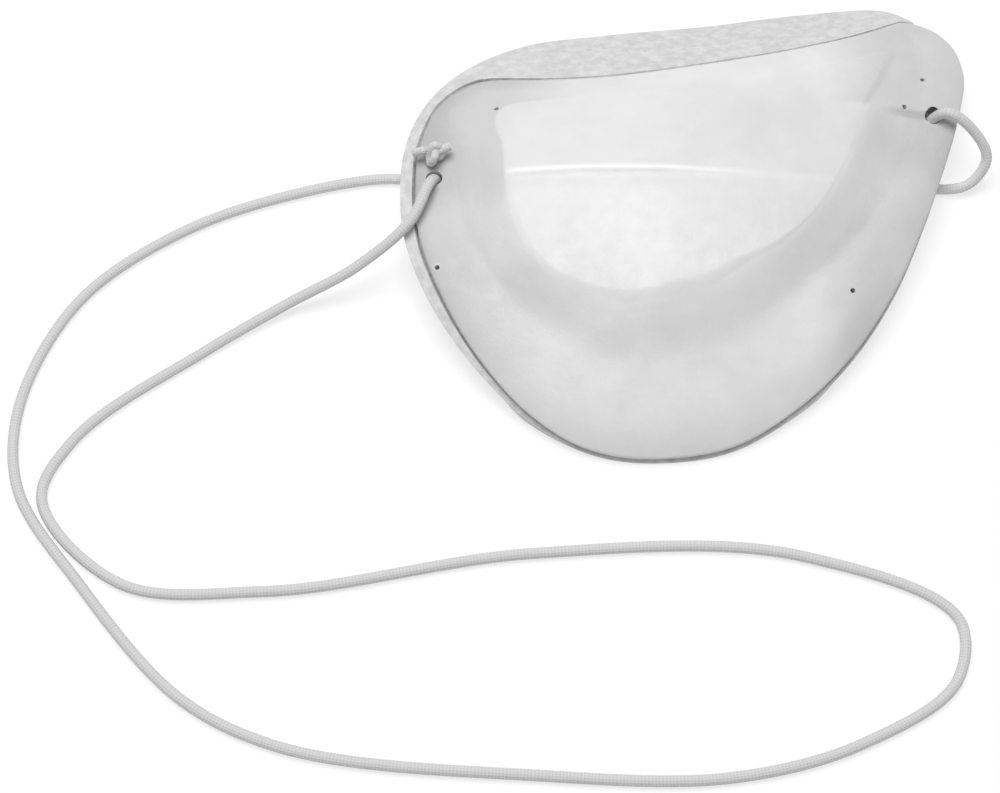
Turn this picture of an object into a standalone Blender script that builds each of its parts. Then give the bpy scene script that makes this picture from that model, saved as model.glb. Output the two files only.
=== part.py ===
"""Eye patch: a moulded front shell over a face-side lining, held by one knotted elastic cord.

The patch lies with its hollow down, on its brow edge and its tip. Units are millimetres until
a mesh is made. +X is the wearer's left-hand side of the patch, +Y the brow and +Z the front.
Run with: blender --background --python part.py
"""

import bisect
import math

import bmesh
import bpy
import numpy as np
from mathutils import Matrix, Vector
from mathutils.bvhtree import BVHTree

MM = 0.001

# Driving dimensions.
SHELL_WALL = 0.9
LINING_WALL = 0.8
GAP = 0.3
LIP_HEIGHT = 1.3
BAND_RECESS = 0.15
BAND_EDGES = (0.06, 0.11)
GROOVE_BOTTOM = 1.1 * GAP
GROOVE_TOP = 1.35 * GAP
SEAT_DEPTH = 1.3
SEAT_RAMP = 1.1
CORD_D = 1.5
CORD_POINTS = 80
BEND_WEIGHT = 24.0
ROUTE_EVENNESS = 0.7
CORD_REST_Z = 0.8
CORD_HOLE_D = 2.7
VENT_D = 0.9
CUTTER_LENGTH = 12.0
KNOT_SIZE = (3.6, 3.2, 2.8)
TAIL_D = 1.4
TAIL_LENGTH = 3.1

# Punched holes, as places on the skin seen from the front (x, y).
KNOT_HOLE = (-35.5, 7.6)
STRAND_HOLE = (-35.6, 3.6)
RIGHT_HOLE = (34.8, 13.9)
VENTS = ((-26.9, 14.7), (-35.0, -10.4), (33.9, 20.3), (30.6, 14.6), (21.8, -13.6))

# The crown of the dome: its top, and how it falls to each side, to the tip and to the brow.
CROWN_TOP = 15.4
CROWN_SIDE_FALL = 0.0045
CROWN_TIP_FALL = 0.006
CREST_Y = 1.0
BROW_TOP = 9.3
BROW_SIDE_FALL = 0.004
BROW_LINE = (22.0, 0.165, 0.0035)
DOME_CENTRE = (-1.0, -1.0)
SKIRT_BULGE = 0.07

# Stations round the patch, from the tip and anticlockwise seen from the front. Each one gives
# the rim (x, y, z of its underside), the foot of the dome (x, y), the height and the run of the
# dome's side wall, and where the shell's edge lies, from 0 at the rim to 1 at the foot.
STATIONS = (
    (-6.0, -37.1, 0.0, -6.0, -24.6, 2.7, 5.5, 0.05),
    (5.0, -35.5, 0.2, 2.5, -21.9, 2.8, 5.0, 0.05),
    (14.2, -30.2, 1.4, 8.6, -16.8, 2.9, 4.5, 0.05),
    (21.9, -22.9, 3.0, 13.2, -11.3, 3.0, 3.5, 0.05),
    (28.1, -13.7, 4.6, 17.2, -5.3, 3.0, 2.5, 0.05),
    (32.8, -3.6, 5.6, 20.2, 1.2, 3.0, 2.2, 0.05),
    (36.4, 5.8, 6.0, 22.6, 7.4, 2.8, 2.0, 0.05),
    (39.2, 14.4, 5.9, 24.6, 13.2, 2.0, 1.8, 0.05),
    (40.7, 22.4, 5.2, 27.4, 18.0, 0.6, 2.5, 0.05),
    (39.1, 29.2, 3.7, 29.8, 22.4, 0.0, 3.0, 0.08),
    (34.8, 33.3, 1.9, 29.8, 25.4, 0.0, 3.0, 0.12),
    (29.3, 36.6, 0.5, 25.5, 24.8, 0.0, 4.0, 0.58),
    (18.0, 36.1, 0.0, 15.5, 22.0, 0.0, 4.0, 0.75),
    (3.2, 34.0, 0.0, 2.6, 18.9, 0.0, 4.0, 0.77),
    (-11.5, 32.4, 0.0, -10.0, 17.6, 0.0, 4.0, 0.79),
    (-22.0, 30.2, 0.9, -19.5, 17.2, 0.0, 4.0, 0.75),
    (-30.6, 25.2, 2.6, -26.0, 15.8, 0.0, 3.0, 0.42),
    (-36.4, 18.6, 4.2, -27.2, 11.6, 1.0, 2.2, 0.21),
    (-39.6, 10.8, 5.4, -26.0, 7.2, 2.2, 1.8, 0.15),
    (-40.4, 2.4, 6.0, -25.6, 1.2, 2.4, 1.8, 0.13),
    (-39.5, -6.2, 6.0, -24.8, -5.0, 2.5, 2.0, 0.12),
    (-36.2, -14.9, 5.3, -22.3, -11.6, 2.6, 2.5, 0.11),
    (-30.9, -23.2, 3.8, -18.5, -17.4, 2.7, 3.5, 0.09),
    (-23.8, -30.6, 1.9, -13.4, -22.2, 2.7, 4.5, 0.06),
    (-15.4, -35.6, 0.5, -9.8, -24.2, 2.7, 5.5, 0.05),
)
# The cord's route, from the left knot down through its hole, out under the left edge, round the
# table, over the left edge, in through the second hole, across under the patch, out under the
# right edge and back over it to the right hole.
CORD_ROUTE = (
    (-35.5, 7.6, 7.9),
    (-35.4, 7.5, 4.6),
    (-36.6, 7.6, 2.3),
    (-38.9, 7.8, 1.1),
    (-43.0, 8.0, 0.8),
    (-57.0, 5.1, 0.8),
    (-71.4, -0.8, 0.8),
    (-85.0, -11.8, 0.8),
    (-92.0, -28.4, 0.8),
    (-91.2, -40.0, 0.8),
    (-81.8, -54.0, 0.8),
    (-67.0, -70.3, 0.8),
    (-55.5, -76.0, 0.8),
    (-22.0, -80.0, 0.8),
    (4.0, -80.2, 0.8),
    (20.0, -75.8, 0.8),
    (32.7, -67.3, 0.8),
    (33.8, -59.5, 0.8),
    (14.0, -50.2, 0.8),
    (-22.0, -49.7, 0.8),
    (-57.5, -55.1, 0.8),
    (-76.6, -53.9, 0.8),
    (-87.8, -41.4, 0.8),
    (-84.4, -33.5, 0.8),
    (-67.8, -20.2, 0.8),
    (-56.0, -12.9, 1.9),
    (-46.0, -8.7, 5.4),
    (-38.6, -3.6, 9.3),
    (-36.3, 1.5, 10.0),
    (-35.5, 3.8, 7.6),
    (-34.6, 4.1, 4.4),
    (-31.9, 5.3, 1.4),
    (-26.5, 6.9, 0.8),
    (12.0, 10.0, 0.8),
    (32.0, 6.5, 0.8),
    (40.4, 6.6, 1.8),
    (42.6, 9.0, 4.6),
    (40.6, 11.3, 7.9),
    (36.7, 13.2, 10.1),
    (34.3, 13.9, 6.2),
)
AROUND = 64
SHELL_LEVELS = (0.0, 0.33, 0.67, 1.0, 1.07, 1.16, 1.32, 1.54, 1.78)


def smooth_table(rows, place):
    """The Catmull-Rom value of a closed table of rows at a place counted in rows."""
    count = len(rows)
    first = math.floor(place)
    step = place - first
    a, b, c, d = (np.array(rows[(first + offset) % count]) for offset in (-1, 0, 1, 2))
    bend = (2 * a - 5 * b + 4 * c - d) * step**2 + (3 * b - a - 3 * c + d) * step**3
    return b + 0.5 * ((c - a) * step + bend)


def crown_height(x, y):
    """Height of the dome's skin, which runs on over the brow."""
    crest = CROWN_TOP - CROWN_SIDE_FALL * x**2
    if y < CREST_Y:
        return crest - CROWN_TIP_FALL * (CREST_Y - y) ** 2
    brow_y = BROW_LINE[0] + BROW_LINE[1] * x + BROW_LINE[2] * x**2
    brow_z = BROW_TOP - BROW_SIDE_FALL * x**2
    return crest - (crest - brow_z) * ((y - CREST_Y) / (brow_y - CREST_Y)) ** 2


def skin_point(turn, level):
    """A point of the patch's outer skin: turn 0 to 1 goes round it, and level runs from
    0 at the rim through 1 at the dome's foot to 2 at its centre."""
    row = smooth_table(STATIONS, turn * len(STATIONS))
    rim_x, rim_y, rim_z, foot_x, foot_y, drop, run, _ = row
    foot_z = crown_height(foot_x, foot_y) - drop
    if level <= 1:
        rise = level + SKIRT_BULGE * math.sin(math.pi * level)
        low = max(rim_z, 0.0) + LIP_HEIGHT
        x = rim_x + (foot_x - rim_x) * level
        y = rim_y + (foot_y - rim_y) * level
        return Vector((x, y, low + (foot_z - low) * rise))
    x = foot_x + (DOME_CENTRE[0] - foot_x) * (level - 1)
    y = foot_y + (DOME_CENTRE[1] - foot_y) * (level - 1)
    inward = math.hypot(x - foot_x, y - foot_y) / run
    wall = 1 - (1 - min(inward, 1.0)) ** 2
    return Vector((x, y, foot_z + (crown_height(x, y) - foot_z) * wall))


def skin_normal(turn, level):
    """The skin's outward normal."""
    if level > 1.99:
        return Vector((0, 0, 1))
    small = 0.002
    along = skin_point(turn + small, level) - skin_point(turn - small, level)
    up = skin_point(turn, min(level + small, 2.0)) - skin_point(turn, max(level - small, 0.0))
    return along.cross(up).normalized()


def inset_point(turn, level, depth):
    """A point under the skin, measured square to it."""
    return skin_point(turn, level) - skin_normal(turn, level) * depth


def shell_edge(turn):
    return max(smooth_table(STATIONS, turn * len(STATIONS))[7], 0.05)


def skirt_width(turn):
    return (skin_point(turn, 1.0) - skin_point(turn, 0.0)).length


def smooth_step(low, high, value):
    share = min(max((value - low) / (high - low), 0.0), 1.0)
    return share * share * (3 - 2 * share)


def colour_material(name, colour, roughness):
    material = bpy.data.materials.new(name)
    material.use_nodes = True
    shader = material.node_tree.nodes["Principled BSDF"]
    shader.inputs["Base Color"].default_value = (*colour, 1.0)
    shader.inputs["Roughness"].default_value = roughness
    shader.inputs["Metallic"].default_value = 0.0
    return material


def add_object(name, data, material):
    obj = bpy.data.objects.new(name, data)
    bpy.context.scene.collection.objects.link(obj)
    data.materials.append(material)
    return obj


def closed_mesh(name, upper_rings, lower_rings, upper_top, lower_top):
    """A closed solid between two nests of rings, joined at their outer edges, each nest
    ending in one middle point."""
    mesh_maker = bmesh.new()

    def add_ring(points):
        return [mesh_maker.verts.new(point * MM) for point in points]

    def bridge(outer, inner):
        for k in range(AROUND):
            after = (k + 1) % AROUND
            mesh_maker.faces.new((outer[k], outer[after], inner[after], inner[k]))

    rings = [add_ring(points) for points in reversed(lower_rings)]
    rings += [add_ring(points) for points in upper_rings]
    for outer, inner in zip(rings, rings[1:]):
        bridge(outer, inner)
    for ring, top in ((rings[-1], upper_top), (rings[0][::-1], lower_top)):
        middle = mesh_maker.verts.new(top * MM)
        for k in range(AROUND):
            mesh_maker.faces.new((ring[k], ring[(k + 1) % AROUND], middle))
    bmesh.ops.recalc_face_normals(mesh_maker, faces=mesh_maker.faces)
    mesh = mesh_from(name, mesh_maker)
    mesh.shade_smooth()
    mesh.set_sharp_from_angle(angle=math.radians(50))
    return mesh


def turns():
    return [k / AROUND for k in range(AROUND)]


def shell_level(turn, level):
    """A shell ring's level: the first ones share out the skirt from the shell's edge up."""
    edge = shell_edge(turn)
    return edge + (1 - edge) * level if level < 1 else level


def make_front_shell(material):
    upper = [
        [skin_point(turn, shell_level(turn, level)) for turn in turns()]
        for level in SHELL_LEVELS
    ]
    lower = [
        [inset_point(turn, shell_level(turn, level), SHELL_WALL) for turn in turns()]
        for level in SHELL_LEVELS
    ]
    top = skin_point(0.0, 2.0)
    mesh = closed_mesh("front_shell", upper, lower, top, top - Vector((0, 0, SHELL_WALL)))
    return add_object("front_shell", mesh, material)


def seated(point):
    """A point of the underside, eased down flat onto the table where it comes near it."""
    clear = smooth_step(SEAT_DEPTH, SEAT_DEPTH + SEAT_RAMP, point.z)
    return Vector((point.x, point.y, point.z * clear))


def make_inner_lining(material):
    """The lining lies a gap under the shell and steps up to fill the band past its edge."""
    depth = SHELL_WALL + GAP

    def band_depth(turn):
        return depth + (BAND_RECESS - depth) * smooth_step(*BAND_EDGES, shell_edge(turn))

    def step_level(turn, outward):
        return shell_edge(turn) - outward / skirt_width(turn)

    upper = [
        [inset_point(turn, 0.0, band_depth(turn)) for turn in turns()],
        [inset_point(turn, step_level(turn, GROOVE_TOP), band_depth(turn)) for turn in turns()],
        [inset_point(turn, step_level(turn, GROOVE_BOTTOM), depth) for turn in turns()],
    ]
    upper += [
        [inset_point(turn, shell_level(turn, level), depth) for turn in turns()]
        for level in SHELL_LEVELS[1:]
    ]
    under = depth + LINING_WALL
    lower = [
        [seated(inset_point(turn, level, under)) for turn in turns()]
        for level in (0.0, 0.1)
    ]
    lower += [
        [seated(inset_point(turn, shell_level(turn, level), under)) for turn in turns()]
        for level in SHELL_LEVELS[1:]
    ]
    top = skin_point(0.0, 2.0)
    mesh = closed_mesh(
        "inner_lining", upper, lower, top - Vector((0, 0, depth)), top - Vector((0, 0, under))
    )
    return add_object("inner_lining", mesh, material)


def frame_on_skin(skin, place):
    """The skin's point above a place (x, y), in millimetres, and its outward normal."""
    start = Vector((place[0], place[1], 2 * CROWN_TOP)) * MM
    point, normal, _, _ = skin.ray_cast(start, Vector((0, 0, -1)))
    return point / MM, normal


def turned_to(centre, normal):
    """The placing that moves to the centre, turns +Z to the normal and keeps +X level."""
    across = Vector((1, 0, 0))
    across = (across - normal * across.dot(normal)).normalized()
    turn = Matrix((across, normal.cross(across), normal)).transposed().to_4x4()
    return Matrix.Translation(centre * MM) @ turn


def add_cylinder(maker, diameter, depth, matrix, segments):
    bmesh.ops.create_cone(
        maker,
        cap_ends=True,
        segments=segments,
        radius1=diameter / 2 * MM,
        radius2=diameter / 2 * MM,
        depth=depth * MM,
        matrix=matrix,
    )


def mesh_from(name, maker):
    mesh = bpy.data.meshes.new(name)
    maker.to_mesh(mesh)
    maker.free()
    return mesh


def add_helper(name, mesh):
    """An object that only shapes another one."""
    obj = bpy.data.objects.new(name, mesh)
    bpy.context.scene.collection.objects.link(obj)
    obj.hide_render = True
    obj.display_type = "WIRE"
    return obj


def make_hole_cutter(name, skin, places, diameter, segments):
    """One helper object of a set of punched holes, square to the skin."""
    cutter = bmesh.new()
    for place in places:
        placing = turned_to(*frame_on_skin(skin, place))
        add_cylinder(cutter, diameter, CUTTER_LENGTH, placing, segments)
    return add_helper(name, mesh_from(name, cutter))


def add_boolean(obj, operation, helper):
    modifier = obj.modifiers.new(helper.name, "BOOLEAN")
    modifier.operation = operation
    modifier.solver = "EXACT"
    modifier.object = helper


def smooth_route(route, steps):
    """A fine line through a route's points, its bends even where the points are unevenly spread."""
    route = np.array(route)
    legs = np.diff(route, axis=0)
    spans = np.linalg.norm(legs, axis=1)[:, None] ** ROUTE_EVENNESS
    slopes = legs / spans
    inner = (slopes[:-1] * spans[1:] + slopes[1:] * spans[:-1]) / (spans[1:] + spans[:-1])
    first = 1.5 * slopes[:1] - 0.5 * inner[:1]
    last = 1.5 * slopes[-1:] - 0.5 * inner[-1:]
    pulls = np.concatenate((first, inner, last))
    line = []
    for k, span in enumerate(spans):
        for t in np.arange(steps) / steps:
            start, end = route[k], route[k + 1]
            blend = t * t * (3 - 2 * t)
            leave = t * (1 - t) ** 2 * span * pulls[k]
            arrive = t * t * (t - 1) * span * pulls[k + 1]
            line.append(start * (1 - blend) + end * blend + leave + arrive)
    line = np.array([*line, route[-1]])
    line[:, 2] = np.maximum(line[:, 2], CORD_REST_Z)
    return line


def spread_points(route, count):
    """Points along the smooth curve through a route, closer together where it bends."""
    line = [Vector(point) for point in smooth_route(route, 20)]
    runs = [0.0]
    heading = line[1] - line[0]
    for before, after in zip(line, line[1:]):
        step = after - before
        runs.append(runs[-1] + step.length + BEND_WEIGHT * heading.angle(step))
        heading = step
    points = []
    for k in range(count):
        target = runs[-1] * k / (count - 1)
        index = min(max(bisect.bisect_left(runs, target), 1), len(runs) - 1)
        share = (target - runs[index - 1]) / (runs[index] - runs[index - 1])
        points.append(line[index - 1] + (line[index] - line[index - 1]) * share)
    return points


def make_cord(material):
    curve = bpy.data.curves.new("elastic_cord", "CURVE")
    curve.dimensions = "3D"
    curve.bevel_depth = CORD_D / 2 * MM
    curve.bevel_resolution = 2
    curve.use_fill_caps = True
    spline = curve.splines.new("POLY")
    spline.points.add(CORD_POINTS - 1)
    for slot, point in zip(spline.points, spread_points(CORD_ROUTE, CORD_POINTS)):
        slot.co = (*(point * MM), 1.0)
    spline.use_smooth = True
    return add_object("elastic_cord", curve, material)


def make_knot(name, skin, place, side, tails, material):
    """A stopper knot on one face of the patch, with its axis through the hole. side is +1 on
    the front and -1 in the hollow. tails gives each cut end's turn about the axis, degrees."""
    point, normal = frame_on_skin(skin, place)
    patch_wall = 0.0 if side > 0 else SHELL_WALL + GAP + LINING_WALL
    lift = patch_wall + GAP + KNOT_SIZE[2] / 2
    body = bmesh.new()
    bmesh.ops.create_uvsphere(body, u_segments=16, v_segments=10, radius=0.5 * MM)
    bmesh.ops.scale(body, vec=KNOT_SIZE, verts=body.verts)
    mesh = mesh_from(name, body)
    mesh.shade_smooth()
    knot = add_object(name, mesh, material)
    knot.matrix_world = turned_to(point + normal * lift * side, normal)
    for number, turn in enumerate(tails):
        level_out = Matrix.Rotation(math.radians(turn), 4, "Z") @ Matrix.Rotation(math.pi / 2, 4, "Y")
        stub = bmesh.new()
        reach = Matrix.Translation((0, 0, TAIL_LENGTH / 2 * MM))
        add_cylinder(stub, TAIL_D, TAIL_LENGTH, level_out @ reach, segments=10)
        tail = add_helper(f"{name}_tail_{number}", mesh_from(f"{name}_tail_{number}", stub))
        tail.parent = knot
        add_boolean(knot, "UNION", tail)
    return knot


def main():
    for obj in list(bpy.data.objects):
        bpy.data.objects.remove(obj, do_unlink=True)
    shell_white = colour_material("moulded_white", (0.82, 0.82, 0.82), 0.45)
    lining_white = colour_material("lining_white", (0.74, 0.74, 0.74), 0.8)
    elastic_white = colour_material("elastic_white", (0.8, 0.8, 0.8), 0.7)
    shell = make_front_shell(shell_white)
    lining = make_inner_lining(lining_white)
    skin_maker = bmesh.new()
    skin_maker.from_mesh(shell.data)
    skin = BVHTree.FromBMesh(skin_maker)
    skin_maker.free()
    cord_places = (KNOT_HOLE, STRAND_HOLE, RIGHT_HOLE)
    cord_holes = make_hole_cutter("cord_holes", skin, cord_places, CORD_HOLE_D, 16)
    vent_holes = make_hole_cutter("vent_holes", skin, VENTS, VENT_D, 10)
    add_boolean(shell, "DIFFERENCE", cord_holes)
    add_boolean(shell, "DIFFERENCE", vent_holes)
    add_boolean(lining, "DIFFERENCE", cord_holes)
    make_cord(elastic_white)
    make_knot("left_knot", skin, KNOT_HOLE, 1, (170, 15), elastic_white)
    make_knot("right_knot", skin, RIGHT_HOLE, -1, (200,), elastic_white)


main()
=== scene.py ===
"""Looks of the eye patch: the moulded shell, its lining, the braided elastic and its knots.

Lengths are millimetres until a mesh is made, in the same frame as the CAD model.
"""

import math

import bmesh
import bpy
import numpy as np
from mathutils import Matrix, Vector
from mathutils.bvhtree import BVHTree


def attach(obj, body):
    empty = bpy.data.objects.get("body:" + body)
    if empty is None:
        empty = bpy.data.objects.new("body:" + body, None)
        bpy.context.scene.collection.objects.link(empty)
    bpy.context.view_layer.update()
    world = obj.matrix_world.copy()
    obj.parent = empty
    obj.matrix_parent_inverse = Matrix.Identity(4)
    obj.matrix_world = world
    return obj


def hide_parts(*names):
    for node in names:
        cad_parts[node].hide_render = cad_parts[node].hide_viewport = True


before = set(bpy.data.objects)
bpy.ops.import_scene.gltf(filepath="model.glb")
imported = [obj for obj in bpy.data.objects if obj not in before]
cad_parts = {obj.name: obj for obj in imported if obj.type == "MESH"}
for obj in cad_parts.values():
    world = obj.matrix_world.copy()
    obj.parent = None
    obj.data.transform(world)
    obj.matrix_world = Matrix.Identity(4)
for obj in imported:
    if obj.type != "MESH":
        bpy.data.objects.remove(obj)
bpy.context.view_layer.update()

MM = 0.001

# The patch's walls, as in part.py. The gap stands for the bond between shell and lining.
SHELL_WALL = 0.9
LINING_WALL = 0.8
GAP = 0.3
LIP_HEIGHT = 1.3
BAND_RECESS = 0.15

# The underside lies flat on the table up to the first height, and is eased up over the second.
SEAT_DEPTH = 1.3
SEAT_RAMP = 1.1

# The cord, and the height of its middle line where it lies on the table.
CORD_D = 1.5
CORD_REST_Z = 0.8
ROUTE_EVENNESS = 0.7

# The knots: the cord drawn tight, the reach and height of the wraps, how far they stand off the
# sheet, the loose tails, and how far the front knot sits below its hole.
KNOT_CORD_D = 1.15
KNOT_REACH = 1.25
KNOT_HEIGHT = 0.8
KNOT_RISE = 1.4
TAIL_LENGTH = 2.7
KNOT_SETTLE = 0.8

# The holes: their places are those of part.py, and their diameters are a little smaller.
CORD_HOLE_D = 2.4
VENT_D = 0.7
HOLE_CUT_DEPTH = 12
HOLE_SIDES = 32
CRISP_ANGLE = math.radians(50)
KNOT_HOLE = (-35.5, 7.6)
STRAND_HOLE = (-35.6, 3.6)
RIGHT_HOLE = (34.8, 13.9)
VENTS = ((-26.9, 14.7), (-35.0, -10.4), (33.9, 20.3), (30.6, 14.6), (21.8, -13.6))

# The dome's crown, which falls away to the sides, the tip and the brow.
CROWN_TOP = 15.4
CROWN_SIDE_FALL = 0.0045
CROWN_TIP_FALL = 0.006
CREST_Y = 1.0
BROW_TOP = 9.3
BROW_SIDE_FALL = 0.004
BROW_LINE_Y = 22.0
BROW_LINE_LEAN = 0.165
BROW_LINE_BOW = 0.0035
DOME_CENTRE = (-1.0, -7.0)
CROWN_LIFT = 9.0
CROWN_LIFT_LEVEL = 1.15

# The sides: how the skirt bows, how the wall rises into the crown, and the two pressed pockets.
SKIRT_BOW = 0.3
WALL_RISE = 0.12
RIGHT_POCKET = 1.1
LEFT_POCKET = 0.7

# The crease moulded across the dome, and the soft dimple above it.
CREASE_LINE_Y = 0.9
CREASE_LINE_LEAN = 0.05
CREASE_HEIGHT = 0.34
CREASE_WIDTH = 0.55
# Painted highlight along the crease's ridge, as a share added to the shell's lightness.
CREASE_HIGHLIGHT = 0.2
CREASE_HOLLOW = 0.14
HOLLOW_BELOW = 1.3
HOLLOW_WIDTH = 1.0
SOFTENING = 0.6
DIMPLE = (0.5, 6.0, 4.5, 0.45)

# Painted shade in the shell's colour: shares taken off its lightness where the surfaces face away from
# the light. It falls on the walls and skirts beside the dome, at the upper right corner, below the dome,
# near the rim and over the right of the crown, and the bottom skirt gets a little painted light. A wall
# has a base and an upper share. The last value is the tone given to the punched hole walls.
RIGHT_WALL_SHADE = (0.03, 0.09)
RIGHT_SKIRT_SHADE = 0.2
LEFT_WALL_SHADE = (0.07, 0.1)
LEFT_SKIRT_SHADE = 0.18
CORNER_SHADE = 0.2
BELOW_DOME_SHADE = 0.08
BELOW_SKIRT_LIGHT = 0.03
BELOW_DOME_SHARE = 0.8
RIM_SHADE = 0.12
FAR_SIDE_SHADE = 0.07
HOLE_WALL_TONE = 0.8

# The braid's strands each way, and the run of one turn in millimetres.
BRAID_STRANDS = 6
BRAID_PITCH = 0.9

# Stations round the patch, from the tip and anticlockwise seen from the front: the rim (x, y, z
# of its underside), the foot of the dome's wall (x, y, z), its shoulder (x, y), the shoulder's
# rounding, and where the shell's edge lies, from 0 at the rim to 1 at the foot.
STATIONS = np.array((
    (-6.0, -37.1, 0.0, -6.0, -24.8, 8.6, -5.0, -17.8, 1.6, 0.05),
    (5.0, -35.5, 0.2, 3.0, -22.3, 8.6, 1.5, -16.2, 1.6, 0.05),
    (14.2, -30.2, 1.4, 9.8, -17.6, 8.5, 6.5, -13.0, 1.4, 0.05),
    (21.9, -22.9, 3.0, 15.8, -12.6, 8.4, 11.8, -9.6, 1.0, 0.05),
    (28.1, -13.7, 4.6, 21.3, -7.2, 8.3, 16.6, -4.8, 0.7, 0.05),
    (32.8, -3.6, 5.6, 26.0, -0.6, 9.0, 20.2, 1.2, 0.5, 0.05),
    (36.4, 5.8, 6.0, 29.6, 6.3, 9.3, 22.8, 7.0, 0.45, 0.05),
    (39.2, 14.4, 5.9, 32.2, 13.0, 9.2, 25.0, 13.0, 0.5, 0.06),
    (40.7, 22.4, 5.2, 33.8, 19.4, 8.2, 27.5, 17.6, 1.5, 0.08),
    (39.1, 29.2, 3.7, 34.4, 24.6, 6.8, 29.5, 22.0, 1.5, 0.12),
    (34.8, 33.3, 1.9, 33.0, 29.8, 5.0, 30.2, 26.0, 1.5, 0.14),
    (29.3, 36.6, 0.5, 27.2, 28.4, 6.9, 25.5, 24.8, 1.2, 0.80),
    (18.0, 36.1, 0.0, 16.0, 24.3, 8.6, 15.5, 21.2, 1.2, 0.88),
    (3.2, 34.0, 0.0, 2.6, 20.9, 9.6, 2.6, 17.8, 1.2, 0.88),
    (-11.5, 32.4, 0.0, -10.1, 19.1, 9.2, -9.7, 16.0, 1.2, 0.88),
    (-22.0, 30.2, 0.9, -19.8, 19.3, 8.3, -19.0, 15.6, 1.2, 0.88),
    (-30.6, 25.2, 2.6, -28.6, 20.4, 6.4, -25.4, 15.0, 1.2, 0.80),
    (-36.4, 18.6, 4.2, -33.4, 15.6, 7.4, -27.0, 11.6, 1.5, 0.5),
    (-39.6, 10.8, 5.4, -33.0, 9.0, 9.1, -26.0, 7.2, 0.8, 0.3),
    (-40.4, 2.4, 6.0, -32.2, 1.5, 9.4, -25.6, 1.2, 0.45, 0.25),
    (-39.5, -6.2, 6.0, -30.5, -5.8, 9.2, -24.6, -5.0, 0.5, 0.22),
    (-36.2, -14.9, 5.3, -26.6, -12.8, 8.9, -22.0, -11.0, 0.7, 0.18),
    (-30.9, -23.2, 3.8, -21.3, -18.6, 8.5, -17.4, -15.4, 1.2, 0.12),
    (-23.8, -30.6, 1.9, -15.4, -22.8, 8.6, -12.0, -17.8, 1.5, 0.07),
    (-15.4, -35.6, 0.5, -10.8, -24.6, 8.6, -8.6, -18.2, 1.6, 0.05),
))
RIM, FOOT, SHOULDER, ROUNDING, EDGE = slice(0, 3), slice(3, 6), slice(6, 8), 8, 9

# The cord's route, as in part.py.
CORD_ROUTE = np.array((
    (-35.5, 7.6, 7.9),
    (-35.4, 7.5, 4.6),
    (-36.6, 7.6, 2.3),
    (-38.9, 7.8, 1.1),
    (-43.0, 8.0, 0.8),
    (-57.0, 5.1, 0.8),
    (-71.4, -0.8, 0.8),
    (-85.0, -11.8, 0.8),
    (-92.0, -28.4, 0.8),
    (-91.2, -40.0, 0.8),
    (-81.8, -54.0, 0.8),
    (-67.0, -70.3, 0.8),
    (-55.5, -76.0, 0.8),
    (-22.0, -80.0, 0.8),
    (4.0, -80.2, 0.8),
    (20.0, -75.8, 0.8),
    (32.7, -67.3, 0.8),
    (33.8, -59.5, 0.8),
    (14.0, -50.2, 0.8),
    (-22.0, -49.7, 0.8),
    (-57.5, -55.1, 0.8),
    (-76.6, -53.9, 0.8),
    (-87.8, -41.4, 0.8),
    (-84.4, -33.5, 0.8),
    (-67.8, -20.2, 0.8),
    (-56.0, -12.9, 1.9),
    (-46.0, -8.7, 5.4),
    (-38.6, -3.6, 9.3),
    (-36.3, 1.5, 10.0),
    (-35.5, 3.8, 7.6),
    (-34.6, 4.1, 4.4),
    (-31.9, 5.3, 1.4),
    (-26.5, 6.9, 0.8),
    (12.0, 10.0, 0.8),
    (32.0, 6.5, 0.8),
    (40.4, 6.6, 1.8),
    (42.6, 9.0, 4.6),
    (40.6, 11.3, 7.9),
    (36.7, 13.2, 10.1),
    (34.3, 13.9, 6.2),
))

# How finely the surfaces are divided.
AROUND = 384
SKIRT_RINGS = 16
WALL_RINGS = 14
DOME_RINGS = 90
EDGE_STEPS = 8
HIDDEN_STEP = 3
CORD_STEP = 0.4
STEM_STEPS = 7
KNOT_STEP = 0.12
CORD_SIDES = 14
GUIDE_LEVELS = (0, 0.25, 0.5, 0.75, 1, 2)

# Each knot: its name, CAD node and body, its hole, its side of the patch, where its tails point in
# degrees, and the two points along the cord that its stem starts from.
KNOTS = (
    ("left_stopper_knot", "left_knot", "left_stopper", KNOT_HOLE, 1, (172, 20), (STEM_STEPS, 0)),
    ("right_stopper_knot", "right_knot", "right_stopper", RIGHT_HOLE, -1, (200,), (-1 - STEM_STEPS, -1)),
)


# ---------------------------------------------------------------- shape of the skin


def stations_at(turns):
    """Catmull-Rom values of the table of stations, at turns from 0 to 1 round the patch."""
    places = np.asarray(turns) % 1.0 * len(STATIONS)
    first = np.floor(places).astype(int)
    step = (places - first)[:, None]
    a, b, c, d = (STATIONS[(first + offset) % len(STATIONS)] for offset in (-1, 0, 1, 2))
    bend = (2 * a - 5 * b + 4 * c - d) * step**2 + (3 * b - a - 3 * c + d) * step**3
    return b + 0.5 * ((c - a) * step + bend)


def smooth_step(low, high, value):
    share = np.clip((np.asarray(value, float) - low) / (high - low), 0, 1)
    return share * share * (3 - 2 * share)


def brow_line_y(x):
    return BROW_LINE_Y + BROW_LINE_LEAN * x + BROW_LINE_BOW * x**2


def crown_height(x, y):
    crest = CROWN_TOP - CROWN_SIDE_FALL * x**2
    tip_side = crest - CROWN_TIP_FALL * np.maximum(CREST_Y - y, 0) ** 2
    brow_z = BROW_TOP - BROW_SIDE_FALL * x**2
    share = np.maximum(y - CREST_Y, 0) / (brow_line_y(x) - CREST_Y)
    return np.where(y < CREST_Y, tip_side, crest - (crest - brow_z) * share**2)


def crease_line_y(x):
    return CREASE_LINE_Y - CREASE_LINE_LEAN * x


def crease_strength(x):
    return (1 - 0.8 * smooth_step(-6, 12, x)) * smooth_step(-27.0, -25.2, x) * smooth_step(25, 17, x)


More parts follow.
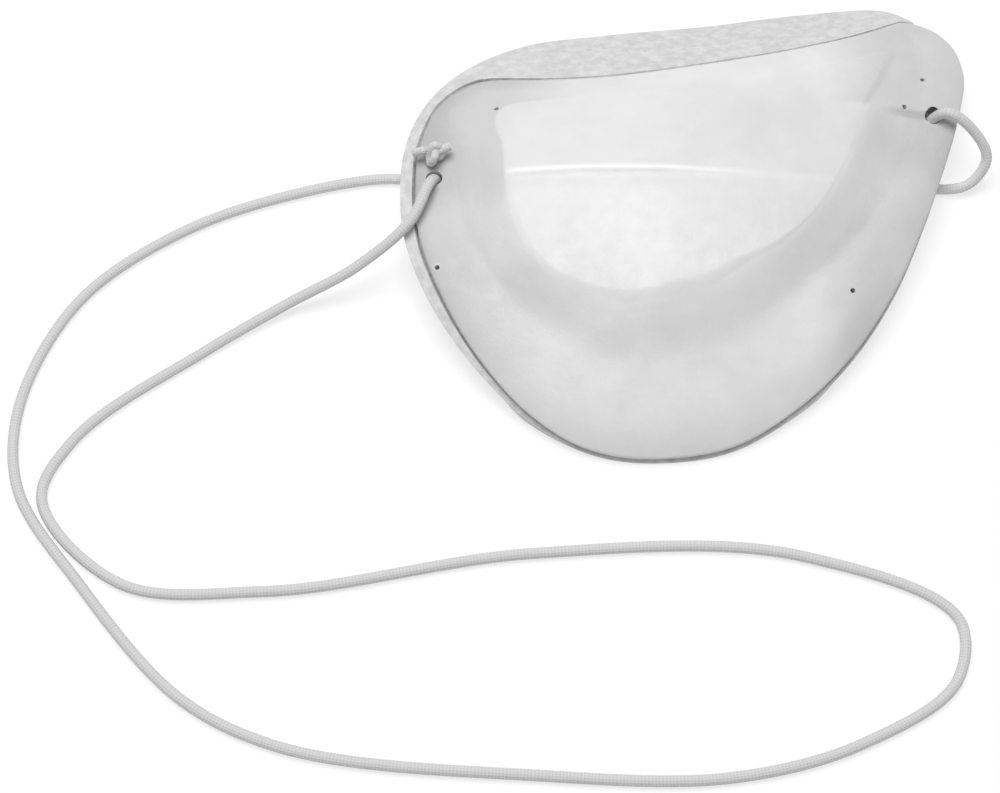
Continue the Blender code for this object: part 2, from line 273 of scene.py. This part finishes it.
def crown_details(x, y):
    """The crease across the dome with the shallow hollow under it, and the dimple above."""
    off = y - crease_line_y(x)
    strength = crease_strength(x)
    ridge = CREASE_HEIGHT * np.exp(-((off / CREASE_WIDTH) ** 2))
    hollow = CREASE_HOLLOW * np.exp(-(((off + HOLLOW_BELOW) / HOLLOW_WIDTH) ** 2))
    centre_x, centre_y, radius, depth = DIMPLE
    away = ((x - centre_x) ** 2 + (y - centre_y) ** 2) / radius**2
    return (ridge - hollow) * strength - depth * np.exp(-away)


def pocket_depth(x, y):
    """How far the skirt is pressed in beside the dome, below a crisp upper edge on each side."""
    right = RIGHT_POCKET * smooth_step(14.4, 13.4, y) * smooth_step(-9, 9, y)
    left = LEFT_POCKET * smooth_step(9.5, 6.0, y) * smooth_step(-14, 0, y)
    right *= smooth_step(18, 22, x)
    left *= smooth_step(-22, -25, x)
    return right + left


def soft_ramp(value, rounding):
    return (value + np.sqrt(value**2 + rounding**2)) / 2


def skin_points(turns, level, soften=0.0):
    """Points of the outer skin: level runs from 0 at the rim through 1 at the wall's foot and
    2 at its shoulder to 3 at the dome's centre. Soften rounds off the shoulder and leaves out
    the crease, for the surfaces that lie deeper."""
    rows = stations_at(turns)
    level = np.broadcast_to(np.asarray(level, float), rows.shape[:1])
    rim, foot, shoulder = rows[:, RIM], rows[:, FOOT], rows[:, SHOULDER]
    low = np.maximum(rim[:, 2], 0) + LIP_HEIGHT
    centre = np.broadcast_to(np.array(DOME_CENTRE), shoulder.shape)
    lanes = np.stack((rim[:, :2], foot[:, :2], shoulder, centre))
    first = np.clip(np.floor(level).astype(int), 0, 2)
    order = np.arange(len(rows))
    share = (level - first)[:, None]
    place = lanes[first, order] * (1 - share) + lanes[first + 1, order] * share
    skirt = np.linalg.norm(foot[:, :2] - rim[:, :2], axis=1)
    wall = np.linalg.norm(shoulder - foot[:, :2], axis=1)
    inner = np.linalg.norm(centre - shoulder, axis=1)
    far = np.clip(level, 0, 1) * skirt + np.clip(level - 1, 0, 1) * wall
    far += np.clip(level - 2, 0, 1) * inner
    x, y = place[:, 0], place[:, 1]
    slope = (foot[:, 2] - low) / skirt
    wall_slope = (crown_height(shoulder[:, 0], shoulder[:, 1]) - foot[:, 2]) / wall
    side = low + slope * far + (wall_slope - slope) * (
        soft_ramp(far - skirt, 1.0) - soft_ramp(-skirt, 1.0)
    )
    side += WALL_RISE * np.maximum(far - skirt - wall, 0) ** 2
    bow = SKIRT_BOW * np.sin(np.pi * np.clip(level, 0, 1))
    side += bow * smooth_step(0.9, 0.3, rows[:, EDGE])
    pressed = smooth_step(0.1, 0.9, level) * smooth_step(2.0, 1.2, level)
    side -= pocket_depth(x, y) * pressed
    crown = crown_height(x, y)
    if soften == 0:
        crown += crown_details(x, y) * smooth_step(1.9, 2.1, level)
    crown += CROWN_LIFT * np.maximum(CROWN_LIFT_LEVEL - level, 0) ** 2
    rounding = np.maximum(rows[:, ROUNDING], 0.2) + soften
    overlap = np.maximum(rounding - np.abs(side - crown), 0) / rounding
    z = np.minimum(side, crown) - overlap**2 * rounding / 4
    return np.stack((x, y, z), axis=1)


def skin_normals(turns, level, soften=0.0):
    """Outward normals of the skin."""
    small = 0.001
    turns = np.asarray(turns, float)
    level = np.broadcast_to(np.asarray(level, float), turns.shape)
    along = skin_points(turns + small, level, soften) - skin_points(turns - small, level, soften)
    high, low = np.minimum(level + 0.004, 3.0), np.maximum(level - 0.004, 0.0)
    up = skin_points(turns, high, soften) - skin_points(turns, low, soften)
    normal = np.cross(along, up)
    normal[level > 2.995] = (0, 0, 1)
    return normal / np.linalg.norm(normal, axis=1, keepdims=True)


def inset_points(turns, level, depth):
    depth = np.broadcast_to(np.asarray(depth, float), np.shape(turns))
    soften = SOFTENING * float(np.max(depth))
    point = skin_points(turns, level, soften)
    return point - skin_normals(turns, level, soften) * depth[:, None]


def shell_edge(turns):
    return np.maximum(stations_at(turns)[:, EDGE], 0.05)


def skirt_width(turns):
    return np.linalg.norm(skin_points(turns, 1.0) - skin_points(turns, 0.0), axis=1)


# ---------------------------------------------------------------- mesh helpers


def ring_mesh(name, rings, first_point, last_point):
    """A closed mesh through a run of rings, ended by a point at each end."""
    around = len(rings[0])
    points = np.concatenate([np.array([first_point]), *rings, np.array([last_point])]) * MM
    last = len(points) - 1
    faces = []
    for k in range(around):
        after = (k + 1) % around
        faces.append((0, 1 + after, 1 + k))
        faces.append((last, last - around + k, last - around + after))
    for row in range(len(rings) - 1):
        start = 1 + row * around
        for k in range(around):
            after = (k + 1) % around
            faces.append((start + k, start + after, start + around + after, start + around + k))
    mesh = bpy.data.meshes.new(name)
    mesh.from_pydata(points.tolist(), [], faces)
    shaper = bmesh.new()
    shaper.from_mesh(mesh)
    bmesh.ops.recalc_face_normals(shaper, faces=shaper.faces)
    shaper.to_mesh(mesh)
    shaper.free()
    mesh.shade_smooth()
    return mesh


def add_object(name, data, material=None):
    obj = bpy.data.objects.new(name, data)
    bpy.context.scene.collection.objects.link(obj)
    if material is not None:
        data.materials.append(material)
    return obj


def skin_tree(mesh):
    shaper = bmesh.new()
    shaper.from_mesh(mesh)
    tree = BVHTree.FromBMesh(shaper)
    shaper.free()
    return tree


def frame_on_skin(skin, place):
    start = Vector((place[0], place[1], 2 * CROWN_TOP)) * MM
    point, normal, _, _ = skin.ray_cast(start, Vector((0, 0, -1)))
    return point / MM, normal


def turned_to(centre, normal):
    across = Vector((1, 0, 0))
    across = (across - normal * across.dot(normal)).normalized()
    turn = Matrix((across, normal.cross(across), normal)).transposed().to_4x4()
    return Matrix.Translation(centre * MM) @ turn


def make_hole_cutter(name, skin, places, diameter):
    cutter = bmesh.new()
    for place in places:
        bmesh.ops.create_cone(
            cutter,
            cap_ends=True,
            segments=HOLE_SIDES,
            radius1=diameter / 2 * MM,
            radius2=diameter / 2 * MM,
            depth=HOLE_CUT_DEPTH * MM,
            matrix=turned_to(*frame_on_skin(skin, place)),
        )
    mesh = bpy.data.meshes.new(name)
    cutter.to_mesh(mesh)
    cutter.free()
    return add_object(name, mesh)


def punch(obj, cutters):
    """Cuts the holes for good, and keeps the punched edges crisp."""
    for cutter in cutters:
        modifier = obj.modifiers.new(cutter.name, "BOOLEAN")
        modifier.operation = "DIFFERENCE"
        modifier.solver = "MANIFOLD"
        modifier.object = cutter
    bpy.context.view_layer.update()
    graph = bpy.context.evaluated_depsgraph_get()
    punched = bpy.data.meshes.new_from_object(obj.evaluated_get(graph))
    obj.modifiers.clear()
    obj.data = punched
    punched.polygons.foreach_set("material_index", [0] * len(punched.polygons))
    while len(punched.materials) > 1:
        punched.materials.pop()
    # The tone attribute holds painted shade and highlight. The faces cut for the hole walls get a fixed
    # value.
    if "tone" in punched.attributes:
        shading_values = np.empty(len(punched.vertices), np.float32)
        punched.attributes["tone"].data.foreach_get("value", shading_values)
        shading_values = np.where(shading_values < 0.5, HOLE_WALL_TONE, shading_values)
        punched.attributes["tone"].data.foreach_set("value", shading_values)
    punched.shade_smooth()
    punched.set_sharp_from_angle(angle=CRISP_ANGLE)


# ---------------------------------------------------------------- materials


class Shader:
    """A small helper that adds and joins the nodes of one procedural material."""

    def __init__(self, name):
        self.material = bpy.data.materials.new(name)
        self.material.use_nodes = True
        self.nodes = self.material.node_tree.nodes
        self.links = self.material.node_tree.links
        self.principled = self.nodes["Principled BSDF"]

    def add(self, kind, settings=None, **inputs):
        node = self.nodes.new(kind)
        for name, value in (settings or {}).items():
            setattr(node, name, value)
        for name, value in inputs.items():
            self.put(node, name.replace("_", " "), value)
        return node

    def put(self, node, name, value):
        socket = node.inputs[name]
        if isinstance(value, bpy.types.NodeSocket):
            self.links.new(value, socket)
        else:
            socket.default_value = value

    def noise(self, scale, detail=3.0, rough=0.5):
        node = self.add("ShaderNodeTexNoise", Scale=scale, Detail=detail, Roughness=rough)
        self.put(node, "Vector", self.place())
        return node.outputs["Fac"]

    def place(self):
        return self.add("ShaderNodeTexCoord").outputs["Object"]

    def ramp(self, value, stops):
        node = self.add("ShaderNodeValToRGB", Fac=value)
        for element, (position, grey) in zip(node.color_ramp.elements, stops):
            element.position = position
            element.color = (grey, grey, grey, 1)
        return node.outputs["Color"]

    def bump(self, height, strength, distance, normal=None):
        node = self.add("ShaderNodeBump", Height=height, Strength=strength, Distance=distance)
        if normal is not None:
            self.put(node, "Normal", normal)
        return node.outputs["Normal"]


def shell_material():
    shader = Shader("moulded_white_plastic")
    cloudy = shader.ramp(shader.noise(170.0, 4.0), ((0.3, 0.71), (0.7, 0.76)))
    # The base colour is the cloudy white multiplied by the tone attribute, which holds painted shade and
    # highlight.
    tone = shader.add("ShaderNodeAttribute", {"attribute_name": "tone"})
    toned = shader.add("ShaderNodeMix", {"data_type": "RGBA", "blend_type": "MULTIPLY"})
    toned.inputs[0].default_value = 1.0
    shader.put(toned, 6, cloudy)
    shader.put(toned, 7, tone.outputs["Color"])
    shader.put(shader.principled, "Base Color", toned.outputs[2])
    worn = shader.ramp(shader.noise(420.0, 3.0), ((0.35, 0.38), (0.7, 0.52)))
    shader.put(shader.principled, "Roughness", worn)
    grain = shader.bump(shader.noise(3200.0, 2.0), 0.35, 0.00006)
    ripple = shader.bump(shader.noise(260.0, 2.0), 0.5, 0.0003, grain)
    shader.put(shader.principled, "Normal", ripple)
    shader.principled.inputs["Subsurface Weight"].default_value = 0.12
    shader.principled.inputs["Subsurface Radius"].default_value = (1.0, 1.0, 1.0)
    shader.principled.inputs["Subsurface Scale"].default_value = 0.0012
    shader.principled.inputs["Specular IOR Level"].default_value = 0.4
    return shader.material


def lining_material():
    shader = Shader("mottled_white_lining")
    mottle = shader.ramp(shader.noise(650.0, 5.0, 0.6), ((0.38, 0.57), (0.68, 0.70)))
    shader.put(shader.principled, "Base Color", mottle)
    shader.principled.inputs["Roughness"].default_value = 0.7
    pebbles = shader.add("ShaderNodeTexVoronoi", Scale=1100.0)
    shader.put(pebbles, "Vector", shader.place())
    relief = shader.bump(pebbles.outputs["Distance"], 0.5, 0.0002)
    lumps = shader.bump(shader.noise(500.0, 3.0), 0.6, 0.0003, relief)
    shader.put(shader.principled, "Normal", lumps)
    shader.principled.inputs["Sheen Weight"].default_value = 0.15
    return shader.material


def elastic_material():
    """Round braid: two sets of strands that cross, laid out along the tube's own UV."""
    shader = Shader("braided_white_elastic")
    coords = shader.add("ShaderNodeTexCoord").outputs["UV"]
    strands = []
    for lean in (1, -1):
        split = shader.add("ShaderNodeSeparateXYZ", Vector=coords)
        turn = shader.add("ShaderNodeMath", {"operation": "MULTIPLY"})
        shader.put(turn, 0, split.outputs["X"])
        turn.inputs[1].default_value = 2 * math.pi * BRAID_STRANDS * lean
        run = shader.add("ShaderNodeMath", {"operation": "MULTIPLY_ADD"})
        shader.put(run, 0, split.outputs["Y"])
        run.inputs[1].default_value = 2 * math.pi / BRAID_PITCH
        shader.put(run, 2, turn.outputs[0])
        wave = shader.add("ShaderNodeMath", {"operation": "SINE"})
        shader.put(wave, 0, run.outputs[0])
        strands.append(wave.outputs[0])
    weave = shader.add("ShaderNodeMath", {"operation": "MULTIPLY"})
    shader.put(weave, 0, strands[0])
    shader.put(weave, 1, strands[1])
    tone = shader.add("ShaderNodeMapRange", Value=weave.outputs[0])
    tone.inputs["From Min"].default_value = -1.0
    tone.inputs["To Min"].default_value = 0.56
    tone.inputs["To Max"].default_value = 0.68
    shader.put(shader.principled, "Base Color", tone.outputs["Result"])
    shader.put(shader.principled, "Normal", shader.bump(weave.outputs[0], 0.5, 0.00005))
    shader.principled.inputs["Roughness"].default_value = 0.75
    shader.principled.inputs["Sheen Weight"].default_value = 0.2
    return shader.material


def floor_material():
    """A pale table that is nearly lit out, with soft shadows still showing on it."""
    shader = Shader("pale_floor")
    shader.principled.inputs["Base Color"].default_value = (FLOOR_GREY, FLOOR_GREY, FLOOR_GREY, 1)
    shader.principled.inputs["Roughness"].default_value = 0.9
    shader.principled.inputs["Specular IOR Level"].default_value = 0.0
    shader.principled.inputs["Emission Color"].default_value = (1, 1, 1, 1)
    shader.principled.inputs["Emission Strength"].default_value = FLOOR_GLOW
    return shader.material


# ---------------------------------------------------------------- the pieces


def spaced(low, high, count):
    return [low + (high - low) * k / count for k in range(count)]


def shell_levels():
    """Ring levels above the shell's edge, closer together at the wall's shoulder."""
    skirt = spaced(0.0, 1.0, SKIRT_RINGS)[1:]
    wall = [1 + math.sin(k / WALL_RINGS * math.pi / 2) for k in range(WALL_RINGS)]
    dome = [2 + (k / DOME_RINGS) ** 1.1 for k in range(DOME_RINGS)]
    return skirt + wall + dome


def laid_level(turns, level):
    """The first unit of levels is shared out between the shell's edge and the wall's foot."""
    edge = shell_edge(turns)
    return edge + (1 - edge) * level if level < 1 else np.full(len(turns), level)


def painted_shading_at(points, level):
    """Painted shade and highlight in the shell's colour. It is darker on the walls and skirts beside the
    dome, at the upper right corner, below the dome, near the rim and over the right of the crown, and
    lighter on the crease's ridge and a little on the bottom skirt.
    """
    x, y = points[:, 0], points[:, 1]
    wall = smooth_step(2.03, 1.95, level)
    skirt = smooth_step(1.5, 0.6, level)
    base, upper = RIGHT_WALL_SHADE
    right = (base + upper * smooth_step(1, 8, y)) * wall + RIGHT_SKIRT_SHADE * skirt
    right *= smooth_step(15, 24, x) * smooth_step(14.6, 13.5, y)
    base, upper = LEFT_WALL_SHADE
    left = (base + upper * smooth_step(-4, 3, y)) * wall + LEFT_SKIRT_SHADE * skirt
    left *= smooth_step(-13, -27, x) * smooth_step(-34, -12, y)
    corner = smooth_step(17, 30, x) * smooth_step(13.5, 14.6, y) * CORNER_SHADE
    near_foot = wall - skirt + BELOW_DOME_SHARE * smooth_step(2.4, 2.0, level) * (1 - wall)
    below = smooth_step(8, -4, x) * smooth_step(-8, -16, y)
    below = below * (BELOW_DOME_SHADE * near_foot - BELOW_SKIRT_LIGHT * skirt)
    rim = smooth_step(0.5, 0.1, level) * smooth_step(30, 20, x) * RIM_SHADE
    far_side = smooth_step(-8, 8, x) * smooth_step(18, 12, y) * FAR_SIDE_SHADE * (1 - wall)
    # Painted highlight along the ridge of the crease.
    off = (y - crease_line_y(x)) / CREASE_WIDTH
    painted_highlight = CREASE_HIGHLIGHT * np.exp(-(off**2)) * crease_strength(x) * (1 - wall)
    return 1 + painted_highlight - right - left - corner - below - rim - far_side


def sheet_rings(turns, levels, top_depth, bottom_depth, edge_level):
    """Rings over a sheet from its top middle, round its edge and back under it."""
    half = (bottom_depth - top_depth) / 2
    middle = (bottom_depth + top_depth) / 2
    top = [inset_points(turns, laid_level(turns, level), top_depth) for level in levels]
    bottom = [
        inset_points(turns, laid_level(turns, level), bottom_depth)
        for level in levels[::HIDDEN_STEP]
    ]
    normal = skin_normals(turns, edge_level)
    inner = np.minimum(edge_level + 0.01, 3.0)
    outward = skin_points(turns, edge_level) - skin_points(turns, inner)
    outward /= np.linalg.norm(outward, axis=1, keepdims=True)
    half_column = np.broadcast_to(np.asarray(half, float), turns.shape)[:, None]
    centre = inset_points(turns, edge_level, middle) - outward * half_column
    edge = []
    for step in range(EDGE_STEPS + 1):
        angle = math.pi * step / EDGE_STEPS
        reach = normal * math.cos(angle) + outward * math.sin(angle)
        edge.append(centre + reach * half_column)
    return top[::-1] + edge + bottom


def make_shell(material, cutters):
    turns = np.arange(AROUND) / AROUND
    rings = sheet_rings(turns, shell_levels()[1:], 0.0, SHELL_WALL, shell_edge(turns))
    top = skin_points(np.zeros(1), 3.0)[0]
    mesh = ring_mesh("shell_skin", rings, top, top - np.array((0, 0, SHELL_WALL)))
    levels = shell_levels()[:0:-1]
    # Each ring gets its painted shade and highlight in the tone attribute.
    shading_values = [painted_shading_at(ring, laid_level(turns, level)) for ring, level in zip(rings, levels)]
    shading_values += [shading_values[-1]] * (len(rings) - len(shading_values))
    layer = mesh.attributes.new("tone", "FLOAT", "POINT")
    layer.data.foreach_set("value", np.concatenate(([1], *shading_values, [1])).astype(np.float32))
    shell = add_object("shell_skin", mesh, material)
    punch(shell, cutters)
    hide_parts("front_shell")
    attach(shell, "patch")


def seated(points):
    """The underside, eased down flat onto the table where it comes near it."""
    points = points.copy()
    points[:, 2] *= smooth_step(SEAT_DEPTH, SEAT_DEPTH + SEAT_RAMP, points[:, 2])
    return points


def make_lining(material, cutters):
    turns = np.arange(AROUND) / AROUND
    under_shell = SHELL_WALL + GAP
    bottom_depth = under_shell + LINING_WALL
    edge = shell_edge(turns)
    band = under_shell + (BAND_RECESS - under_shell) * smooth_step(0.06, 0.2, edge)
    step = GAP / skirt_width(turns)
    levels = shell_levels()
    under = [
        inset_points(turns, laid_level(turns, level), under_shell)
        for level in levels[::HIDDEN_STEP]
    ]
    groove = np.minimum((1.3 + 0.9 * smooth_step(0.5, 0.8, edge)) * step, edge - 0.02)
    band_rings = [inset_points(turns, edge - 0.6 * groove, under_shell)]
    band_rings.append(inset_points(turns, edge - 0.8 * groove, (under_shell + band) / 2))
    outer = edge - groove
    for share in (1.0, 0.95, 0.85, 0.7, 0.55, 0.4, 0.25, 0.12, 0.05, 0.0):
        band_rings.append(inset_points(turns, outer * share, band))
    foot = [inset_points(turns, 0.0, band + (bottom_depth - band) * k / 5) for k in (1, 2, 3, 4)]
    for ring in foot:
        ring[:, 2] = np.maximum(ring[:, 2], 0.0)
    foot += [seated(inset_points(turns, level, bottom_depth)) for level in (0.0, 0.04, 0.08)]
    below = [
        seated(inset_points(turns, laid_level(turns, level), bottom_depth))
        for level in levels[1:]
    ]
    rings = under[::-1] + band_rings + foot + below
    top = skin_points(np.zeros(1), 3.0)[0]
    first, last = top - np.array((0, 0, under_shell)), top - np.array((0, 0, bottom_depth))
    mesh = ring_mesh("lining_skin", rings, first, last)
    lining = add_object("lining_skin", mesh, material)
    punch(lining, cutters)
    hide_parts("inner_lining")
    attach(lining, "patch")


def smooth_route(route, steps):
    """A fine line through a route's points, its bends even where the points are unevenly spread."""
    route = np.asarray(route, float)
    legs = np.diff(route, axis=0)
    spans = np.linalg.norm(legs, axis=1)[:, None] ** ROUTE_EVENNESS
    slopes = legs / spans
    inner = (slopes[:-1] * spans[1:] + slopes[1:] * spans[:-1]) / (spans[1:] + spans[:-1])
    first = 1.5 * slopes[:1] - 0.5 * inner[:1]
    last = 1.5 * slopes[-1:] - 0.5 * inner[-1:]
    pulls = np.concatenate((first, inner, last))
    t = (np.arange(steps) / steps)[None, :, None]
    start, end = route[:-1, None], route[1:, None]
    blend = t * t * (3 - 2 * t)
    leave = t * (1 - t) ** 2 * (spans * pulls[:-1])[:, None]
    arrive = t * t * (t - 1) * (spans * pulls[1:])[:, None]
    line = start * (1 - blend) + end * blend + leave + arrive
    return np.concatenate((line.reshape(-1, 3), route[-1:]))


def even_line(line, spacing):
    """Points at an even spacing along a fine polyline."""
    runs = np.concatenate(([0], np.cumsum(np.linalg.norm(np.diff(line, axis=0), axis=1))))
    count = max(int(round(runs[-1] / spacing)), 2)
    targets = np.linspace(0, runs[-1], count + 1)
    return np.stack([np.interp(targets, runs, line[:, k]) for k in range(3)], axis=1), runs[-1]


def tube_mesh(name, line, radii, sides):
    """A tube with round ends along a line, with UVs of turns round it and millimetres along."""
    tangents = np.gradient(line, axis=0)
    tangents /= np.linalg.norm(tangents, axis=1, keepdims=True)
    across = np.cross(tangents[0], (0.3, 0.5, 0.8))
    rows = []
    run = 0.0
    rows_at = []
    for k, (point, tangent) in enumerate(zip(line, tangents)):
        across -= tangent * np.dot(across, tangent)
        across /= np.linalg.norm(across)
        beside = np.cross(tangent, across)
        angles = 2 * np.pi * np.arange(sides) / sides
        ring = np.outer(np.cos(angles), across) + np.outer(np.sin(angles), beside)
        rows.append(point + ring * radii[k])
        run += float(np.linalg.norm(point - line[k - 1])) if k else 0.0
        rows_at.append(run)
    verts = np.concatenate([*rows, line[:1], line[-1:]]) * MM
    faces, uvs = [], []
    for k in range(len(line) - 1):
        for s in range(sides):
            t = (s + 1) % sides
            faces.append((k * sides + s, k * sides + t, (k + 1) * sides + t, (k + 1) * sides + s))
            left, right = s / sides, (s + 1) / sides
            low, high = rows_at[k], rows_at[k + 1]
            uvs += [(left, low), (right, low), (right, high), (left, high)]
    start, end = len(line) * sides, len(line) * sides + 1
    last = (len(line) - 1) * sides
    for s in range(sides):
        t = (s + 1) % sides
        faces.append((start, t, s))
        faces.append((end, last + s, last + t))
        uvs += [(0, 0), (t / sides, 0), (s / sides, 0), (0, run), (s / sides, run), (t / sides, run)]
    mesh = bpy.data.meshes.new(name)
    mesh.from_pydata(verts.tolist(), [], faces)
    layer = mesh.uv_layers.new(name="along_cord")
    layer.data.foreach_set("uv", np.array(uvs, np.float32).ravel())
    mesh.shade_smooth()
    return mesh


def make_cord(material):
    line = smooth_route(CORD_ROUTE, 40)
    line[:, 2] = np.maximum(line[:, 2], CORD_REST_Z)
    line, length = even_line(line, CORD_STEP)
    mesh = tube_mesh("elastic_braid", line, np.full(len(line), CORD_D / 2), CORD_SIDES)
    cord = add_object("elastic_braid", mesh, material)
    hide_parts("elastic_cord")
    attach(cord, "patch")
    return cord, line, length


def knot_wraps(side):
    """The middle line of an overhand knot drawn tight, starting on the side that faces the hole."""
    t = np.linspace(0.5, 2 * np.pi - 0.9, 36)
    wide = np.stack((np.sin(t) + 2 * np.sin(2 * t), np.cos(t) - 2 * np.cos(2 * t)), axis=1)
    return np.column_stack((wide * KNOT_REACH / 3, -KNOT_HEIGHT * side * np.sin(3 * t)))


def tail_end(turn):
    turn = math.radians(turn)
    return np.array((math.cos(turn), math.sin(turn), 0.0)) * TAIL_LENGTH


def make_knot(name, node, body, skin, place, side, tails, stem, material):
    """A stopper knot over its hole. Its stem starts inside the cord's end. side is +1 on the
    front and -1 in the hollow."""
    point, normal = frame_on_skin(skin, place)
    wall = 0.0 if side > 0 else SHELL_WALL + GAP + LINING_WALL
    settled = Matrix.Translation((0, -KNOT_SETTLE * MM if side > 0 else 0, 0))
    placing = turned_to(point + normal * (wall + GAP + KNOT_RISE) * side, normal) @ settled
    local = placing.inverted()
    inside = np.array([local @ Vector(spot * MM) for spot in stem]) / MM
    wraps = knot_wraps(side)
    lines = [np.concatenate((inside, wraps, [tail_end(tails[0])]))]
    for turn in tails[1:]:
        lines.append(np.array((wraps[0] * 0.3, tail_end(turn) * 0.5, tail_end(turn))))
    joined = bmesh.new()
    for line in lines:
        line, _ = even_line(smooth_route(line, 8), KNOT_STEP)
        tube = tube_mesh(name, line, np.full(len(line), KNOT_CORD_D / 2), CORD_SIDES)
        joined.from_mesh(tube)
        bpy.data.meshes.remove(tube)
    mesh = bpy.data.meshes.new(name)
    joined.to_mesh(mesh)
    joined.free()
    mesh.shade_smooth()
    knot = add_object(name, mesh, material)
    knot.matrix_world = placing
    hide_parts(node)
    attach(knot, body)
    return knot


# ---------------------------------------------------------------- stage, light and camera

LENS = 85.0
CAMERA_ELEVATION = math.radians(64)
CAMERA_DISTANCE = 0.3235
CAMERA_TARGET = Vector((-0.0264, -0.0262, 0.0))
SENSOR_WIDTH = 36.0
SOFTBOX_PLACE = (-0.08, 0.12, 0.72)
SOFTBOX_SIZE = 0.55
SOFTBOX_POWER = 4.7
WORLD_STRENGTH = 0.34
FLOOR_SIZE = 3.0
FLOOR_GREY = 0.34
FLOOR_GLOW = 0.65


def add_camera():
    data = bpy.data.cameras.new("camera")
    data.lens = LENS
    data.sensor_width = SENSOR_WIDTH
    data.clip_start = 0.01
    camera = add_object("camera", data)
    back = Vector((0, -math.cos(CAMERA_ELEVATION), math.sin(CAMERA_ELEVATION)))
    camera.location = CAMERA_TARGET + back * CAMERA_DISTANCE
    camera.rotation_euler = (math.pi / 2 - CAMERA_ELEVATION, 0, 0)
    bpy.context.scene.camera = camera


def add_area_light(name, place, size, power):
    data = bpy.data.lights.new(name, "AREA")
    data.shape = "DISK"
    data.size = size
    data.energy = power
    light = add_object(name, data)
    light.location = place
    light.rotation_euler = (Vector(place) * -1).to_track_quat("-Z", "Y").to_euler()


def add_stage():
    floor_maker = bmesh.new()
    bmesh.ops.create_grid(floor_maker, x_segments=1, y_segments=1, size=FLOOR_SIZE)
    mesh = bpy.data.meshes.new("floor")
    floor_maker.to_mesh(mesh)
    floor_maker.free()
    floor = add_object("floor", mesh, floor_material())
    add_area_light("softbox", SOFTBOX_PLACE, SOFTBOX_SIZE, SOFTBOX_POWER)
    world = bpy.data.worlds.new("studio")
    bpy.context.scene.world = world
    world.use_nodes = True
    world.node_tree.nodes["Background"].inputs["Color"].default_value = (1, 1, 1, 1)
    world.node_tree.nodes["Background"].inputs["Strength"].default_value = WORLD_STRENGTH
    bpy.context.scene.view_settings.view_transform = "Standard"


def main():
    add_camera()
    add_stage()
    plain = ring_mesh(
        "skin_guide",
        [skin_points(np.arange(AROUND) / AROUND, level) for level in GUIDE_LEVELS],
        skin_points(np.zeros(1), 0.0)[0],
        skin_points(np.zeros(1), 3.0)[0],
    )
    skin = skin_tree(plain)
    cord_places = (KNOT_HOLE, STRAND_HOLE, RIGHT_HOLE)
    cord_holes = make_hole_cutter("cord_holes", skin, cord_places, CORD_HOLE_D)
    vent_holes = make_hole_cutter("vent_holes", skin, VENTS, VENT_D)
    make_shell(shell_material(), (cord_holes, vent_holes))
    make_lining(lining_material(), (cord_holes,))
    for cutter in (cord_holes, vent_holes):
        bpy.data.objects.remove(cutter, do_unlink=True)
    elastic = elastic_material()
    cord, line, length = make_cord(elastic)
    left, right = (
        make_knot(name, node, body, skin, hole, side, tails, line[list(stem)], elastic)
        for name, node, body, hole, side, tails, stem in KNOTS
    )


main()
